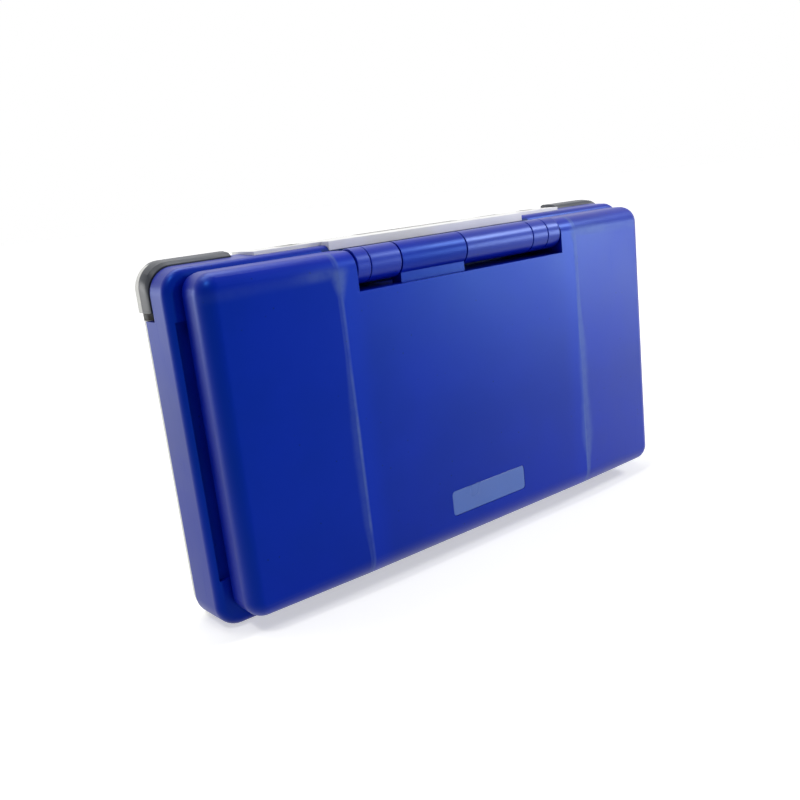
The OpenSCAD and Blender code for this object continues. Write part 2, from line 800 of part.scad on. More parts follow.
module cart_cage() {
    y1 = body_front + cart_d;
    color(steel) difference() {
        box([-cart_w / 2 - cage_t, body_front + wall, cart_z - cage_t],
            [cart_w / 2 + cage_t, y1 + cage_t, cart_z + cart_h + cage_t]);
        box([-cart_w / 2, body_front, cart_z], [cart_w / 2, y1, cart_z + cart_h]);
    }
}

// ---- Hinge ----

// Foot that carries a barrel on the housing
module neck(x0, x1) {
    box([x0, hinge_y - neck_front, shelf_z], [x1, hinge_y + neck_front, hinge_z]);
}

// Fine groove round a barrel
module groove(x) {
    translate([x, hinge_y, hinge_z]) rotate([0, 90, 0]) difference() {
        cylinder(r = barrel_r + 1, h = 0.3, center = true);
        cylinder(r = barrel_r - 0.3, h = 1, center = true);
    }
}

module hinge_barrel_left() {
    x0 = -barrel_end + cap_left_l + 0.2;
    x1 = knuckle_x0 - barrel_gap;
    color(blue) difference() {
        union() {
            translate([0, hinge_y, hinge_z]) bar_x(x0, x1, barrel_r);
            neck(x0, x1);
        }
        translate([0, hinge_y, hinge_z]) bar_x(x0 - 1, x1 + 1, bush_r);
    }
}

module hinge_barrel_right() {
    x0 = knuckle_x1 + barrel_gap;
    x1 = barrel_end - cap_right_l - 0.2;
    color(blue) difference() {
        union() {
            translate([0, hinge_y, hinge_z]) bar_x(x0, x1, barrel_r);
            neck(x0, x1);
        }
        translate([0, hinge_y, hinge_z]) {
            bar_x(x0 - 1, x0 + 3, shaft_r + run_gap);
            bar_x(x0 + 2, x1 + 1, clutch_r);
        }
        groove(x1 - collar_l);
    }
}

module hinge_cap(x0, x1) {
    color(blue) {
        translate([0, hinge_y, hinge_z]) bar_x(x0, x1, barrel_r);
        neck(x0, x1);
    }
}

module hinge_cap_left() {
    hinge_cap(-barrel_end, -barrel_end + cap_left_l);
}

module hinge_cap_right() {
    hinge_cap(barrel_end - cap_right_l, barrel_end);
}

module friction_hinge() {
    x0 = knuckle_x1 + barrel_gap + 2;
    color(steel) translate([0, hinge_y, hinge_z]) {
        bar_x(x0, x0 + 16, clutch_r - 0.02);
        bar_x(knuckle_x0 + 5.5, x0 + eps, shaft_r);
    }
}

module ribbon_bush() {
    x0 = -barrel_end + cap_left_l + 0.4;
    color(dark_grey) translate([0, hinge_y, hinge_z]) difference() {
        bar_x(x0, knuckle_x0 + 3.6, bush_r - 0.01);
        bar_x(x0 - 1, knuckle_x0 + 5, bush_r - 0.9);
    }
}

// ---- Controls ----

module pad_mat() {
    color(dark_grey) translate([-pad_x, face_buttons_y, mat_low]) {
        cylinder(r = pad_disc_r, h = mat_t);
        for (a = [0, 90, 180, 270]) rotate([0, 0, a]) translate([7, 0, mat_t - eps])
            cylinder(r = 2, h = pad_low - mat_low - mat_t - 0.75);
    }
}

module button_mat() {
    color(dark_grey) {
        translate([pad_x, face_buttons_y, mat_low]) cylinder(r = button_out + button_r, h = mat_t);
        button_places() translate([0, 0, mat_low + mat_t - eps])
            cylinder(r = 2, h = dome_top - mat_low - mat_t);
    }
}

module menu_mat() {
    color(dark_grey) {
        translate([pad_x, menu_y, mat_low]) linear_extrude(mat_t)
            square([menu_x1 - menu_x0 + 2 * menu_r, 2 * menu_r], center = true);
        menu_places() translate([0, 0, mat_low + mat_t - eps])
            cylinder(r = 1.5, h = dome_top - mat_low - mat_t);
    }
}

module power_mat() {
    color(dark_grey) translate([-pad_x, menu_y, mat_low]) {
        cylinder(r = menu_r + 1, h = mat_t);
        translate([0, 0, mat_t - eps]) cylinder(r = 1.5, h = dome_top - mat_low - mat_t);
    }
}

// Cap of a face button over the flange that keeps it in
module button_cap(r) {
    translate([0, 0, flange_low]) cylinder(r = r + flange_out, h = flange_t);
    translate([0, 0, flange_top - eps]) cylinder(r = r, h = cap_top - flange_top - 0.5);
    translate([0, 0, cap_top - 0.5 - 2 * eps]) cylinder(r1 = r, r2 = r - 0.45, h = 0.5);
}

module face_button(angle) {
    color(silver) translate([pad_x + button_out * cos(angle), face_buttons_y + button_out * sin(angle), 0])
        button_cap(button_r);
}

module button_a() {
    face_button(0);
}

module button_x() {
    face_button(90);
}

module button_y() {
    face_button(180);
}

module button_b() {
    face_button(270);
}

module button_select() {
    color(silver) translate([menu_x0, menu_y, 0]) button_cap(menu_r);
}

module button_start() {
    color(silver) translate([menu_x1, menu_y, 0]) button_cap(menu_r);
}

module button_power() {
    color(silver) translate([-pad_x, menu_y, 0]) button_cap(menu_r);
}

module direction_pad() {
    color(silver) translate([-pad_x, face_buttons_y, 0]) difference() {
        union() {
            translate([0, 0, pad_low]) cylinder(r = pad_disc_r, h = pad_flange_t);
            translate([0, 0, pad_flange_top - eps]) linear_extrude(pad_top - pad_flange_top)
                cross(pad_l, pad_arm);
            translate([0, 0, mat_low + mat_t + 0.15]) cylinder(r = 1.5, h = pad_low - mat_low - mat_t);
        }
        // Dished middle and a groove in each arm
        translate([0, 0, pad_top + 5.6]) sphere(6, $fn = 40);
        for (a = [0, 90, 180, 270]) rotate([0, 0, a])
            translate([pad_l / 2 - 3, 0, pad_top]) cube([0.6, 3.6, 0.5], center = true);
    }
}

// Slice of the shoulder buttons' rounded outer face
module shoulder_slice(z, share) {
    out_x = shoulder_side_out * share;
    out_y = shoulder_out * share;
    w = body_w / 2 + out_x - body_r;
    for (x = [-1, 1], y = [body_front + body_r, body_rear + out_y - body_r])
        translate([x * w, y, z]) cylinder(r = body_r, h = slice_h, $fn = 64);
}

module shoulder_button(side) {
    color(dark_grey) scale([side, 1, 1]) difference() {
        union() {
            intersection() {
                hull() {
                    shoulder_slice(shoulder_low, 0.7);
                    shoulder_slice(shoulder_low + 0.8, 1);
                    shoulder_slice(shoulder_low + 2.6, 1);
                    shoulder_slice(shoulder_top - 1.2, 0.7);
                    shoulder_slice(shoulder_top - slice_h, 0.1);
                }
                box([shoulder_in_x, shoulder_in_y, 0], [body_w, body_rear + 5, shelf_z]);
                // Hollow behind the outer wall
                translate([0, 0, -1]) linear_extrude(shelf_z + 2) difference() {
                    translate([0, body_mid]) square([body_w + 10, body_d + 10], center = true);
                    body_plan(shoulder_t);
                }
            }
            translate([pivot_x, pivot_y, shoulder_low])
                cylinder(r = pivot_boss, h = shoulder_top - shoulder_low);
        }
        translate([pivot_x, pivot_y, 0]) cylinder(r = pin_r + pin_gap, h = shelf_z);
    }
}

module shoulder_left() {
    shoulder_button(-1);
}

module shoulder_right() {
    shoulder_button(1);
}

module shoulder_pins() {
    color(steel) for (x = [-1, 1]) translate([x * pivot_x, pivot_y, pin_seat])
        cylinder(r = pin_r, h = pin_top - pin_seat);
}

// ---- Fittings ----

module headphone_jack() {
    y0 = body_front + 0.3;
    color(black) translate([jack_x, 0, jack_z]) difference() {
        union() {
            bar_y(y0, body_front + wall + 0.2, jack_nose);
            box([-jack_block, body_front + wall + 0.1, floor_top - jack_z],
                [jack_block, y0 + jack_l + 1, board_z - jack_z]);
        }
        bar_y(y0 - 1, y0 + jack_l, jack_r);
    }
}

module power_connector() {
    color(black) translate([power_x, 0, power_z]) difference() {
        box([-power_w / 2 - 1, body_rear - wall - 7, -power_h / 2 - 1],
            [power_w / 2 + 1, body_rear - wall, power_h / 2 + 1]);
        box([-power_w / 2, body_rear - wall - 6, -power_h / 2], [power_w / 2, body_rear, power_h / 2]);
    }
}

module strap_pin() {
    color(steel) translate([strap_x, body_rear - wall / 2, volume_z - strap_w / 2])
        cylinder(r = strap_r, h = strap_w);
}

module volume_slider() {
    color(dark_grey) {
        box([volume_x - volume_half, body_front + 0.3, volume_z - volume_h / 2],
            [volume_x + volume_half, body_front + wall + 0.4, volume_z + volume_h / 2]);
        box([volume_x - volume_half - 2, body_front + wall + 0.3, volume_z - volume_h / 2 - 1],
            [volume_x + volume_half + 2, body_front + wall + 1.5, volume_z + volume_h / 2 + 1]);
    }
}

module stylus() {
    y1 = body_rear + rear_out - 0.2;
    y0 = body_rear - stylus_l + tube_t + 0.3;
    color(dark_grey) translate([stylus_x, 0, stylus_z]) {
        bar_y(y0 + 4, y1, stylus_r);
        translate([0, y0, 0]) rotate([-90, 0, 0]) cylinder(r1 = 0.8, r2 = stylus_r, h = 4);
    }
}

module dust_cover() {
    gap = 0.3;
    color(pale) difference() {
        box([-cart_w / 2 + gap, body_front + 0.15, cart_z + gap],
            [cart_w / 2 - gap, body_front + dust_d, cart_z + cart_h - gap]);
        box([-cart_w / 2 + gap + 1.4, body_front + 3, cart_z + gap + 1.4],
            [cart_w / 2 - gap - 1.4, body_front + dust_d + 1, cart_z + cart_h - gap - 1.4]);
        // Finger grip
        translate([0, body_front, cart_z + cart_h - gap]) cube([16, 1.6, 2.4], center = true);
    }
}

module foot_pads() {
    color("#d4d5d8") for (p = foot_places) translate([p[0], p[1], 0]) cylinder(r = foot_r, h = foot_h);
}

module housing_screws() {
    color(steel) for (p = screw_places) translate([p[0], p[1], foot_h + 0.2]) screw(housing_screw_l);
}

stand() lid_cover();
stand() lid_badge();
stand() lid_inner();
stand() upper_lcd();
stand() upper_window();
stand() speaker_left();
stand() speaker_right();
stand() lid_screws();
stand() lid_bumpers();
stand() upper_housing();
stand() face_plate();
stand() bottom_cover();
stand() battery_cover();
stand() battery_screw();
stand() battery();
stand() main_board();
stand() wireless_module();
stand() lower_lcd();
stand() touch_panel();
stand() card_cage();
stand() cart_cage();
stand() hinge_barrel_left();
stand() hinge_barrel_right();
stand() hinge_cap_left();
stand() hinge_cap_right();
stand() friction_hinge();
stand() ribbon_bush();
stand() pad_mat();
stand() button_mat();
stand() menu_mat();
stand() power_mat();
stand() lamp_windows();
stand() microphone();
stand() headphone_jack();
stand() power_connector();
stand() strap_pin();
stand() shoulder_pins();
stand() foot_pads();
stand() housing_screws();
stand() direction_pad();
stand() button_a();
stand() button_b();
stand() button_x();
stand() button_y();
stand() button_start();
stand() button_select();
stand() button_power();
stand() shoulder_left();
stand() shoulder_right();
stand() volume_slider();
stand() stylus();
stand() dust_cover();
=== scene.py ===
"""Clamshell handheld game console, closed and standing on its long front edge.

The looks of the console, laid out as an add-on: one operator for each group of pieces,
one for the finishes and one for the stage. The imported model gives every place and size.
Lengths are in metres. The lid faces -Y, and the console's underside +Y.
"""
import json
import math

import bmesh
import bpy
from mathutils import Matrix, Vector

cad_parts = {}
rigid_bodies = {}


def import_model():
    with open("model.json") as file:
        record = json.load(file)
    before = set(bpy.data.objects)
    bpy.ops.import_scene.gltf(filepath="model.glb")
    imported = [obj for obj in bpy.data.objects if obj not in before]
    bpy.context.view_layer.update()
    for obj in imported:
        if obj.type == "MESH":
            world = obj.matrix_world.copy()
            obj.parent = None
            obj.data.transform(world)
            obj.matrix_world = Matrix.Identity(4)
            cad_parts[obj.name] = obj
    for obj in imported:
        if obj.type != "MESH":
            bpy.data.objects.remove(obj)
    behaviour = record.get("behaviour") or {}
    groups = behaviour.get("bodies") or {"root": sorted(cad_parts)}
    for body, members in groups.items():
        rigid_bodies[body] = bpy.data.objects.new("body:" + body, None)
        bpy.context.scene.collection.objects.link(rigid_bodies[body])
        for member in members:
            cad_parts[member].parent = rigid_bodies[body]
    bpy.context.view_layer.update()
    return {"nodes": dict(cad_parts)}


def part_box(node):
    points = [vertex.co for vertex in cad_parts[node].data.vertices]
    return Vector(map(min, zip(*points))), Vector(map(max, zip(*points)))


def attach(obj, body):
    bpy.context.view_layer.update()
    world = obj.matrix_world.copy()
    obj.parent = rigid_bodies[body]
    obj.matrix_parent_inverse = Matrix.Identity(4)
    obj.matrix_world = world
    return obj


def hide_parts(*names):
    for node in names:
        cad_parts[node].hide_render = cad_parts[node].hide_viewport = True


bl_info = {
    "name": "Clamshell Handheld Console",
    "version": (1, 0, 0),
    "blender": (4, 5, 0),
    "location": "View3D > Sidebar > Console",
    "description": "Dresses a folding handheld game console in pearl blue plastic",
    "category": "Object",
}

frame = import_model()
NODES = frame["nodes"]

# The lid's creases, to each side of the middle, and half the length of its hinge row
CREASE_X = 0.0384
HINGE_HALF = 0.0335
# The lid's outer face and its creases lie on the -Y side of this
LID_FACE_Y = -0.0100
# The lid's wings begin to turn down this far below the top of its knuckle
REAR_TURN_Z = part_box("lid_cover")[1].z - 0.0049

# What the blue plastic mirrors is tinted blue
BLUE_SHEEN = (0.0, 0.24, 1.0, 1.0)

# Mesh clean-up: points nearer than this are one, and thinner faces are dropped
SAME_POINT = 3e-6
THIN_FACE = 2e-6
# Faces that turn less than this are one flat face
FLAT_TURN = math.radians(0.4)
# Edges that turn more than this are moulded edges, and get a rounding
EDGE_TURN = math.radians(28)
# A crease is sharp from this turn on
CREASE_TURN = math.radians(1.0)
CREASE_SLACK = 0.0002
# Layers of the imported mesh that would fix its old shading
OLD_SHADING = ("custom_normal", "sharp_face", "sharp_edge")

# Gauze behind the sound holes, raised this far off its speaker
GAUZE_SIZE = 0.0135
GAUZE_RISE = 0.00015

# Name, place, aim, width, height and power in watts of each softbox
LAMPS = (
    ("side_softbox", (0.47, -0.39, 0.07), (0.03, 0, 0.04), 0.26, 0.20, 1.6),
    ("barrel_softbox", (0.44, -0.30, 0.44), (0, 0, 0.07), 0.18, 0.14, 1.9),
    ("back_softbox", (-0.04, 0.20, 0.58), (0, 0, 0.03), 0.50, 0.26, 1.7),
    ("left_softbox", (-0.42, 0.44, 0.12), (-0.07, 0, 0.04), 0.20, 0.20, 0.55),
    ("corner_softbox", (-0.36, -0.16, 0.62), (-0.06, 0, 0.07), 0.10, 0.10, 1.2),
)
FLOOR_HALF = 8.0
FLOOR_COLOUR = (0.80, 0.80, 0.76, 1)
# The floor keeps its shadow up to the first distance, and is plain white past the second
SHADOW_REACH = 0.16
WHITE_FROM = 0.60


# ---------------------------------------------------------------- settings


class ShellFinish(bpy.types.PropertyGroup):
    """Colours and gloss of the console's shell."""

    blue: bpy.props.FloatVectorProperty(
        name="Shell blue", description="Colour of the lid and the upper housing",
        subtype="COLOR", size=3, min=0, max=1, default=(0.0002, 0.0060, 0.27))
    blue_roughness: bpy.props.FloatProperty(
        name="Shell roughness", description="How much the blue plastic blurs what it mirrors",
        subtype="FACTOR", min=0, max=1, default=0.36)
    scuff: bpy.props.FloatVectorProperty(
        name="Scuff colour", description="Colour of the worn creases and edges of the lid",
        subtype="COLOR", size=3, min=0, max=1, default=(0.095, 0.145, 0.32))
    plate: bpy.props.FloatVectorProperty(
        name="Plate colour", description="Colour of the plain plate that is let into the lid",
        subtype="COLOR", size=3, min=0, max=1, default=(0.030, 0.105, 0.42))
    pale: bpy.props.FloatVectorProperty(
        name="Pale plastic", description="Colour of the lower housing",
        subtype="COLOR", size=3, min=0, max=1, default=(0.80, 0.80, 0.79))
    smoke: bpy.props.FloatVectorProperty(
        name="Shoulder buttons", description="Colour of the shoulder buttons",
        subtype="COLOR", size=3, min=0, max=1, default=(0.030, 0.036, 0.050))
    edge_soft: bpy.props.FloatProperty(
        name="Edge softening", description="Radius of the moulded edges",
        subtype="DISTANCE", unit="LENGTH", min=0.00002, max=0.0004, default=0.00018)


class StageSettings(bpy.types.PropertyGroup):
    """Camera, floor and light."""

    camera_place: bpy.props.FloatVectorProperty(
        name="Camera place", description="Where the camera stands",
        subtype="TRANSLATION", unit="LENGTH", size=3, default=(-0.1427, -0.17465, 0.0937))
    camera_aim: bpy.props.FloatVectorProperty(
        name="Camera direction", description="Direction in which the camera looks",
        subtype="DIRECTION", size=3, default=(0.573, 0.785, -0.235))
    camera_up: bpy.props.FloatVectorProperty(
        name="Camera up", description="Direction that is up in the picture",
        subtype="DIRECTION", size=3, default=(0.229, 0.122, 0.966))
    lens: bpy.props.FloatProperty(
        name="Lens", description="Focal length on a 36 mm sensor, in millimetres",
        min=10, max=200, default=38.8)
    sky: bpy.props.FloatProperty(
        name="Soft light", description="Strength of the even light from all round",
        min=0, max=2, default=0.14)
    floor_lift: bpy.props.FloatProperty(
        name="Floor lift", description="How much white the floor adds to its lit colour",
        min=0, max=1, default=0.50)


# ---------------------------------------------------------------- materials


class Graph:
    """Small helper that builds a material's nodes."""

    # Sockets of a colour mix
    MIX_A, MIX_B, MIX_RESULT = 6, 7, 2

    def __init__(self, name):
        self.material = bpy.data.materials.new(name)
        self.material.use_nodes = True
        self.nodes = self.material.node_tree.nodes
        self.links = self.material.node_tree.links
        self.shader = self.nodes["Principled BSDF"]
        self.coords = self.nodes.new("ShaderNodeTexCoord").outputs["Object"]

    def put(self, value, socket):
        if isinstance(value, bpy.types.NodeSocket):
            self.links.new(value, socket)
        elif value is not None:
            socket.default_value = value

    def scaled(self, factors):
        node = self.nodes.new("ShaderNodeMapping")
        self.links.new(self.coords, node.inputs["Vector"])
        node.inputs["Scale"].default_value = factors
        return node.outputs["Vector"]

    def noise(self, scale, detail=2.0, rough=0.5, vector=None):
        node = self.nodes.new("ShaderNodeTexNoise")
        self.put(vector or self.coords, node.inputs["Vector"])
        node.inputs["Scale"].default_value = scale
        node.inputs["Detail"].default_value = detail
        node.inputs["Roughness"].default_value = rough
        return node.outputs["Fac"]

    def cells(self, scale, feature="F1", vector=None):
        node = self.nodes.new("ShaderNodeTexVoronoi")
        node.feature = feature
        self.put(vector or self.coords, node.inputs["Vector"])
        node.inputs["Scale"].default_value = scale
        return node.outputs["Distance"]

    def math(self, operation, a, b=None, c=None, clamp=False):
        node = self.nodes.new("ShaderNodeMath")
        node.operation = operation
        node.use_clamp = clamp
        for value, socket in zip((a, b, c), node.inputs):
            self.put(value, socket)
        return node.outputs[0]

    def times(self, a, b):
        return self.math("MULTIPLY", a, b)

    def minus(self, a, b):
        return self.math("SUBTRACT", a, b)

    def over(self, a, b):
        return self.math("DIVIDE", a, b)

    def most(self, a, b):
        return self.math("MAXIMUM", a, b)

    def size(self, a):
        return self.math("ABSOLUTE", a)

    def ramp(self, value, low, high, to_low=0.0, to_high=1.0):
        node = self.nodes.new("ShaderNodeMapRange")
        node.interpolation_type = "SMOOTHSTEP"
        self.put(value, node.inputs["Value"])
        node.inputs["From Min"].default_value = low
        node.inputs["From Max"].default_value = high
        node.inputs["To Min"].default_value = to_low
        node.inputs["To Max"].default_value = to_high
        return node.outputs["Result"]

    def mix(self, share, a, b):
        node = self.nodes.new("ShaderNodeMix")
        node.data_type = "RGBA"
        self.put(share, node.inputs["Factor"])
        for value, index in ((a, self.MIX_A), (b, self.MIX_B)):
            self.put(self.opaque(value), node.inputs[index])
        return node.outputs[self.MIX_RESULT]

    @staticmethod
    def opaque(colour):
        return colour if isinstance(colour, bpy.types.NodeSocket) else (*colour[:3], 1.0)

    def clouded(self, cloud, colour, dark, light, low=0.3, high=0.7):
        """The colour's dark tint where the cloud is low, and its light one where it is high."""
        return self.mix(self.ramp(cloud, low, high), tinted(colour, dark), tinted(colour, light))

    def axes(self):
        node = self.nodes.new("ShaderNodeSeparateXYZ")
        self.links.new(self.coords, node.inputs[0])
        return node.outputs["X"], node.outputs["Y"], node.outputs["Z"]

    def bump(self, height, strength, distance):
        node = self.nodes.new("ShaderNodeBump")
        node.inputs["Strength"].default_value = strength
        node.inputs["Distance"].default_value = distance
        self.links.new(height, node.inputs["Height"])
        self.links.new(node.outputs["Normal"], self.shader.inputs["Normal"])

    def finish(self, colour, roughness, metallic=0.0, specular=0.5, coat=0.0, coat_rough=0.05):
        self.put(self.opaque(colour), self.shader.inputs["Base Color"])
        self.put(roughness, self.shader.inputs["Roughness"])
        self.put(metallic, self.shader.inputs["Metallic"])
        self.shader.inputs["Specular IOR Level"].default_value = specular
        self.shader.inputs["Coat Weight"].default_value = coat
        self.shader.inputs["Coat Roughness"].default_value = coat_rough
        return self.material


def tinted(colour, factor):
    """The colour made lighter or darker by a factor."""
    return tuple(min(1.0, c * factor) for c in colour[:3])


class LidWearAndSheen:
    """Where the lid's blue is rubbed pale, and the painted sheen that lightens the middle panel
    beside each crease.
    """

    def __init__(self, g):
        self.g = g
        x, self.y, self.z = g.axes()
        self.side = g.size(x)
        self.past = g.minus(self.side, CREASE_X)
        self.off = g.size(self.past)
        # 0 at the left crease and 1 at the right one
        self.right = g.ramp(x, -0.01, 0.01)
        self.drift = g.noise(75.0, detail=3.0, rough=0.6, vector=g.scaled((1.0, 1.0, 0.5)))

    def by_side(self, left, right):
        """Goes from left at the left crease to right at the right one."""
        return self.g.ramp(self.right, 0.0, 1.0, left, right)

    def line(self):
        """Thin rubbed line on the crease itself."""
        g = self.g
        full, gone = 0.0001, 0.0007
        line = g.ramp(self.off, full, gone, 1.0, 0.0)
        return g.times(line, g.ramp(self.drift, 0.32, 0.55, 0.25, 0.9))

    def rub(self):
        """Wide soft rub on the wing beside the crease, widest in the middle of its length."""
        g = self.g
        middle, least_half = 0.0007, 0.0006
        swell_in, swell_out = (0.008, 0.022), (0.062, 0.040)
        swell = g.times(g.ramp(self.z, *swell_in), g.ramp(self.z, *swell_out))
        half = g.math("MULTIPLY_ADD", swell, self.by_side(0.0012, 0.0024), least_half)
        half = g.times(half, g.ramp(self.drift, 0.30, 0.70, 0.7, 1.25))
        rub = g.minus(1.0, g.over(g.size(g.minus(self.past, middle)), half))
        return g.times(g.ramp(rub, 0.0, 0.9), self.by_side(0.30, 0.62))

    def fork(self):
        """Triangle where the crease meets the rounded rear edge, larger on the left."""
        g = self.g
        top, fade, tip_share = 0.001, 0.0022, 0.04
        tall = self.by_side(0.0100, 0.0060)
        up = g.over(g.minus(self.z, g.minus(REAR_TURN_Z + top, tall)), tall)
        half = g.times(g.most(up, tip_share), self.by_side(0.0036, 0.0024))
        fork = g.ramp(g.minus(1.0, g.over(self.off, half)), 0.0, 0.9)
        fork = g.times(fork, g.ramp(self.z, REAR_TURN_Z + fade, REAR_TURN_Z))
        return g.times(fork, g.ramp(up, 0.0, 0.7, 0.0, 0.8))

    def band(self):
        """Soft band where the wings begin to turn down to the rear edge."""
        g = self.g
        rise, slope = 0.0004, -0.03
        full, gone = 0.0002, 0.0020
        wing_in, wing_out = (0.0365, 0.0390), (0.040, 0.056)
        middle = g.math("MULTIPLY_ADD", self.past, slope, REAR_TURN_Z + rise)
        band = g.ramp(g.size(g.minus(self.z, middle)), full, gone, 1.0, 0.0)
        band = g.times(band, g.ramp(self.side, *wing_in))
        reach = g.math("MULTIPLY_ADD", self.right, 0.38, g.ramp(self.side, *wing_out, 0.55, 0.10))
        return g.times(band, g.times(reach, g.ramp(self.drift, 0.30, 0.62, 0.5, 1.0)))

    def mask(self):
        """All the rubbed places, broken up finely, on the outer face and beside the hinge row."""
        g = self.g
        clear, face = 0.0010, (-0.0085, -0.0102)
        mask = g.most(g.most(self.line(), self.rub()), g.most(self.fork(), self.band()))
        fine = g.noise(420.0, detail=3.0, rough=0.65)
        mask = g.times(mask, g.ramp(fine, 0.25, 0.60, 0.72, 1.0))
        mask = g.times(mask, g.ramp(self.side, HINGE_HALF, HINGE_HALF + clear))
        return g.math("MULTIPLY", mask, g.ramp(self.y, *face), clamp=True)

    def strip(self):
        """Painted sheen: a lighter border of the middle panel beside each crease."""
        g = self.g
        crease, inner, wall = (0.0003, -0.0002), (-0.0075, -0.0015), (LID_FACE_Y, -0.0125)
        strip = g.times(g.ramp(self.past, *crease), g.ramp(self.past, *inner))
        return g.times(strip, g.ramp(self.y, *wall))


def painted_trough_shade(g):
    """Painted shade in the trough of the upper housing under the hinge row: where it lies, and its
    dark colour with fine lighter grains.
    """
    ends, low, lip = (0.0345, 0.0338), (0.0705, 0.0712), (-0.0010, -0.0020)
    shade, grain = (0.006, 0.007, 0.016), (0.05, 0.055, 0.07)
    x, y, z = g.axes()
    trough = g.times(g.ramp(g.size(x), *ends), g.ramp(z, *low))
    trough = g.times(trough, g.ramp(y, *lip))
    grains = g.ramp(g.noise(1500.0, detail=2.0, rough=0.7), 0.55, 0.75)
    return trough, g.mix(grains, shade, grain)


def blue_plastic(name, settings, worn=False, trough_shade=False, coat=0.04):
    """Pearl blue moulded plastic.

    One flag adds the lid's rubbed creases and the painted sheen beside each crease, the other
    paints shade into the trough of the hinge row.
    """
    speck_colour, crease_sheen_colour = (0.0008, 0.004, 0.06), (0.0006, 0.012, 0.38)
    g = Graph(name)
    cloud = g.noise(38.0, detail=3.0, rough=0.55)
    base = g.clouded(cloud, settings.blue, 0.92, 1.10)
    dots = g.ramp(g.cells(430.0), 0.03, 0.14, 1.0, 0.0)
    specks = g.times(dots, g.ramp(g.noise(150.0, detail=1.0), 0.55, 0.60))
    base = g.mix(g.times(specks, 0.8), base, speck_colour)
    streaks = g.noise(55.0, detail=2.0, rough=0.5, vector=g.scaled((34.0, 34.0, 1.2)))
    hairs = g.ramp(streaks, 0.66, 0.70)
    rough = g.math("ADD", settings.blue_roughness, g.ramp(cloud, 0.3, 0.75, -0.03, 0.05))
    rough = g.math("MULTIPLY_ADD", hairs, 0.06, rough)
    if worn:
        wear_and_sheen = LidWearAndSheen(g)
        mask = wear_and_sheen.mask()
        # Painted sheen: the middle panel is lighter beside each crease
        base = g.mix(g.times(wear_and_sheen.strip(), 0.5), base, crease_sheen_colour)
        base = g.mix(g.times(mask, 0.72), base, settings.scuff)
        rough = g.math("MULTIPLY_ADD", mask, 0.14, rough)
    # Painted shade, with fine lighter grains, in the trough under the hinge row; the surface there
    # is also rougher
    if trough_shade:
        trough, trough_shade_colour = painted_trough_shade(g)
        base = g.mix(g.times(trough, 0.92), base, trough_shade_colour)
        rough = g.math("MULTIPLY_ADD", trough, 0.3, rough)
    grain = g.times(g.noise(2600.0, detail=1.0), 0.5)
    g.bump(g.math("ADD", grain, g.times(hairs, -0.6)), strength=0.08, distance=0.00002)
    g.shader.inputs["Specular Tint"].default_value = BLUE_SHEEN
    return g.finish(base, rough, specular=0.65, coat=coat, coat_rough=0.32)


def moulded(name, colour, rough, grain=1400.0, metallic=0.0, specular=0.5, coat=0.0, depth=0.25):
    """Moulded plastic or rubber with a fine grain and slight clouding."""
    g = Graph(name)
    cloud = g.noise(60.0, detail=3.0, rough=0.55)
    base = g.clouded(cloud, colour, 0.975, 1.02)
    g.bump(g.noise(grain, detail=2.0, rough=0.6), strength=depth, distance=0.00003)
    gloss = g.ramp(cloud, 0.25, 0.75, rough - 0.04, rough + 0.05)
    return g.finish(base, gloss, metallic=metallic, specular=specular, coat=coat)


def smoked(name, settings):
    """Smoky shoulder button, with a painted highlight that makes it pale on its lower outer wall,
    where it meets the lower housing.
    """
    under, outer, painted_highlight_colour = (0.0088, 0.0092), (0.0712, 0.0722), (0.70, 0.70, 0.68)
    g = Graph(name)
    x, y, _ = g.axes()
    # Painted highlight: the lower outer wall is made pale where light falls on it
    pale = g.times(g.ramp(y, *under), g.ramp(g.size(x), *outer))
    cloud = g.noise(80.0, detail=3.0, rough=0.6)
    base = g.mix(pale, g.clouded(cloud, settings.smoke, 0.85, 1.25, low=0.35), painted_highlight_colour)
    g.bump(g.noise(1500.0, detail=2.0, rough=0.5), strength=0.15, distance=0.00002)
    gloss = g.ramp(cloud, 0.3, 0.7, 0.30, 0.40)
    return g.finish(base, gloss, specular=0.30, coat=0.05, coat_rough=0.3)


def metal(name, colour, rough):
    """Brushed steel."""
    g = Graph(name)
    brushed = g.noise(420.0, detail=3.0, rough=0.6, vector=g.scaled((1.0, 12.0, 1.0)))
    base = g.clouded(brushed, colour, 0.85, 1.1)
    g.bump(brushed, strength=0.15, distance=0.00002)
    return g.finish(base, g.ramp(brushed, 0.3, 0.7, rough - 0.06, rough + 0.08), metallic=1.0)


def screen(name, colour):
    """Dark screen under a clear glossy sheet."""
    g = Graph(name)
    haze = g.noise(30.0, detail=2.0, rough=0.5)
    base = g.clouded(haze, colour, 0.8, 1.2)
    g.bump(g.noise(500.0, detail=1.0), strength=0.03, distance=0.00002)
    return g.finish(base, g.ramp(haze, 0.3, 0.7, 0.06, 0.12), specular=0.5, coat=0.6)


def printed_board(name):
    """Green solder mask with fine copper runs under it."""
    run_colour, mask_colour = (0.035, 0.20, 0.09), (0.012, 0.09, 0.045)
    g = Graph(name)
    runs = g.cells(420.0, "DISTANCE_TO_EDGE", g.scaled((1.0, 0.2, 1.0)))
    base = g.mix(g.ramp(runs, 0.03, 0.07), run_colour, mask_colour)
    g.bump(runs, strength=0.2, distance=0.00003)
    return g.finish(base, 0.35, specular=0.4, coat=0.2)


FINISHES = {}


